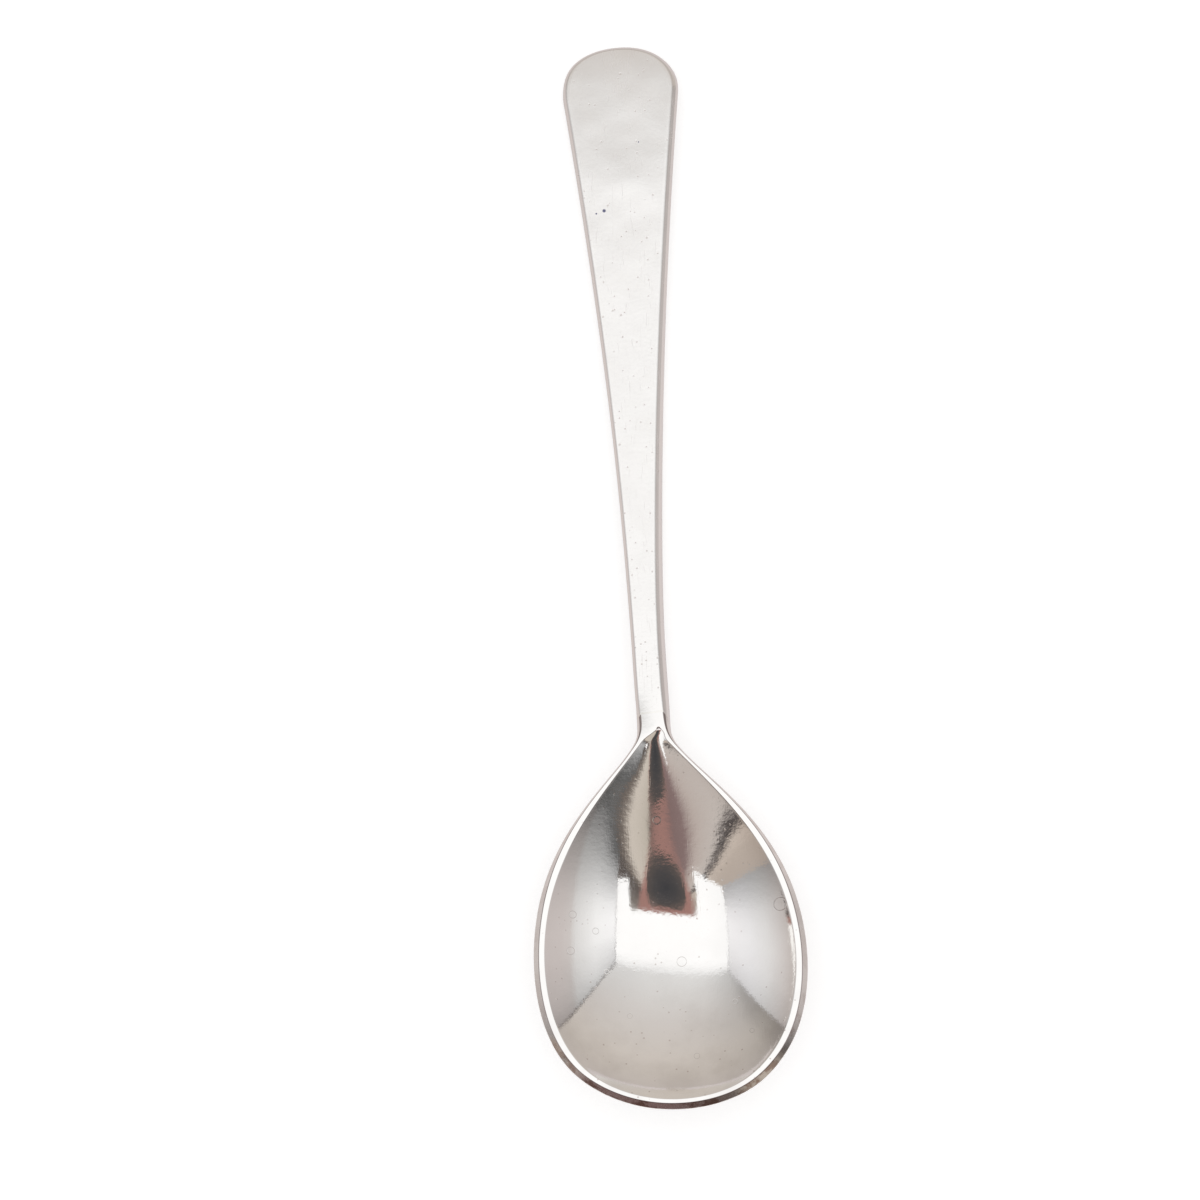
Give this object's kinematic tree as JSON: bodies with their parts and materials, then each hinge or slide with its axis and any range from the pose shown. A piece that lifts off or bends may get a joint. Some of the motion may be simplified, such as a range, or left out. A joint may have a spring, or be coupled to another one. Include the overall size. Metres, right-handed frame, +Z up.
{
  "type": "salt spoon",
  "caption": "Small silver salt spoon with a broad egg-shaped bowl and a plain, nearly straight handle that widens to a rounded end.",
  "frame": {"origin": "on the table the spoon rests on, under the middle of its bounding box", "axes": "+Y along the spoon from the bowl's tip to the handle's end; +Z up, out of the bowl; +X to the right of someone who looks down on it with the handle pointing away"},
  "size_m": [0.0216, 0.088, 0.0064],
  "materials": {
    "polished_silver": "solid silver, polished to a mirror, with fine wear, water spots and a trace of tarnish",
    "silver_solder": "silver solder, dressed flush with the silver around it",
    "worn_silver": "solid silver, softly polished, with hairline scratches and small pits"
  },
  "bodies": {
    "root": {"bowl": "polished_silver", "solder_seam": "silver_solder", "handle": "worn_silver"}
  },
  "joints": []
}
